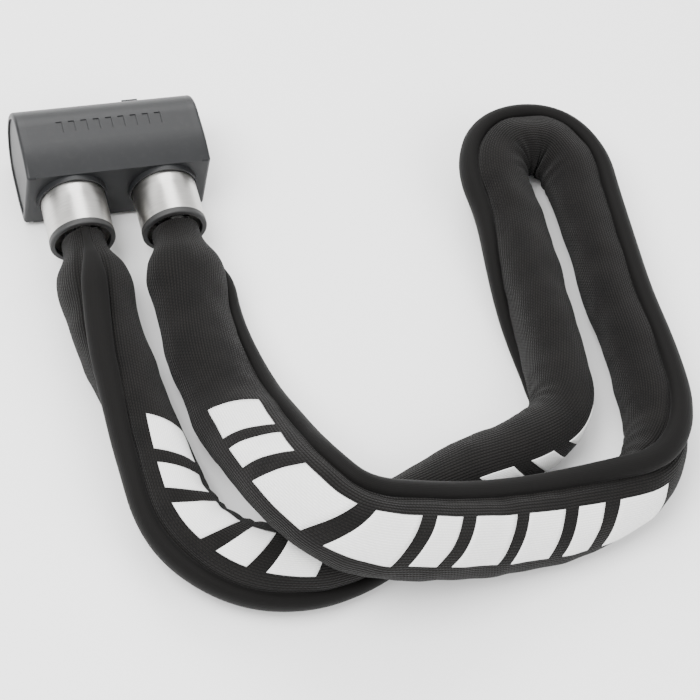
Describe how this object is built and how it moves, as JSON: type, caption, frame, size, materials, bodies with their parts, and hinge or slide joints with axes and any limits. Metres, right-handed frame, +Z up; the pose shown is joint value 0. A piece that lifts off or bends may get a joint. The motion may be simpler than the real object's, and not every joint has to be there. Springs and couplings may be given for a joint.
{
  "type": "chain lock",
  "caption": "Key-operated chain lock: a square-link steel chain in a knitted sleeve, both ends held side by side in a D-section lock body by steel ferrules.",
  "frame": {"origin": "middle of the flat that the lock body rests on", "axes": "+X along the lock body towards the free end, +Y from the chain face to the keyway, +Z up from the surface the lock lies on"},
  "size_m": [0.2647, 0.2599, 0.0592],
  "materials": {
    "body_plastic": "satin",
    "ferrule_steel": "brushed",
    "ring_rubber": "matte",
    "sleeve_fabric": "knitted",
    "chain_steel": "satin",
    "hardened_steel": "satin",
    "cylinder_brass": "satin"
  },
  "bodies": {
    "lock": {"body_cover": "body_plastic", "bore_bezel_fixed": "body_plastic", "bore_bezel_free": "body_plastic", "cap_dowels": "hardened_steel", "captive_shank": "hardened_steel", "captive_shank_pin": "hardened_steel", "chain_links_04_06": "chain_steel", "chain_links_07_09": "chain_steel", "chain_links_10_12": "chain_steel", "chain_links_13_15": "chain_steel", "chain_links_16_18": "chain_steel", "chain_links_19_21": "chain_steel", "chain_links_22_24": "chain_steel", "chain_links_25_27": "chain_steel", "chain_links_28_30": "chain_steel", "chain_links_31_33": "chain_steel", "chain_links_34_36": "chain_steel", "chain_links_37_39": "chain_steel", "clevis_pin_fixed": "hardened_steel", "cylinder_housing": "cylinder_brass", "cylinder_pins": "hardened_steel", "detent_ball": "hardened_steel", "detent_spring": "hardened_steel", "end_cap_left": "body_plastic", "end_cap_right": "body_plastic", "ferrule_fixed": "ferrule_steel", "lock_block": "hardened_steel", "mouth_ring_fixed": "ring_rubber", "sleeve_02": "sleeve_fabric", "sleeve_03": "sleeve_fabric", "sleeve_04": "sleeve_fabric", "sleeve_05": "sleeve_fabric", "sleeve_06": "sleeve_fabric", "sleeve_07": "sleeve_fabric", "sleeve_08": "sleeve_fabric", "sleeve_09": "sleeve_fabric", "sleeve_10": "sleeve_fabric", "sleeve_11": "sleeve_fabric", "sleeve_free_end": "sleeve_fabric"},
    "free_end": {"locking_shank": "hardened_steel", "clevis_pin_free": "hardened_steel", "ferrule_free": "ferrule_steel", "mouth_ring_free": "ring_rubber", "chain_link_01": "chain_steel"},
    "chain_link_2": {"chain_link_02": "chain_steel"},
    "chain_link_3": {"chain_link_03": "chain_steel"},
    "key_core": {"cylinder_core": "cylinder_brass", "detainer_discs": "cylinder_brass", "disc_spacers": "cylinder_brass", "sidebar": "hardened_steel", "tail_cam": "hardened_steel", "anti_drill_plate": "hardened_steel"},
    "deadbolt": {"deadbolt": "hardened_steel"},
    "dust_cover": {"dust_cover": "body_plastic"}
  },
  "joints": [
    {"name": "free_end_slide", "type": "slide", "parent": "lock", "child": "free_end", "axis": [0, -1, 0], "range_m": [0, 0.018], "deforming": ["sleeve_free_end"]},
    {"name": "link_2_slide", "type": "slide", "parent": "lock", "child": "chain_link_2", "axis": [0, -1, 0], "range_m": [0, 0.0121]},
    {"name": "link_3_slide", "type": "slide", "parent": "lock", "child": "chain_link_3", "axis": [0, -1, 0], "range_m": [0, 0.0061]},
    {"name": "key_turn", "type": "hinge", "parent": "lock", "child": "key_core", "pos_m": [0, 0, 0.018], "axis": [0, 1, 0], "range_deg": [0, 90]},
    {"name": "bolt_slide", "type": "slide", "parent": "lock", "child": "deadbolt", "axis": [1, 0, 0], "range_m": [0, 0.00368]},
    {"name": "dust_cover_slide", "type": "slide", "parent": "lock", "child": "dust_cover", "axis": [1, 0, 0], "range_m": [0, 0.014]}
  ],
  "couplings": [
    {"joint": "link_2_slide", "follows": "free_end_slide", "ratio": 0.66667},
    {"joint": "link_3_slide", "follows": "free_end_slide", "ratio": 0.33333},
    {"joint": "key_turn", "follows": "bolt_slide", "rad_per_m": 427.2}
  ]
}
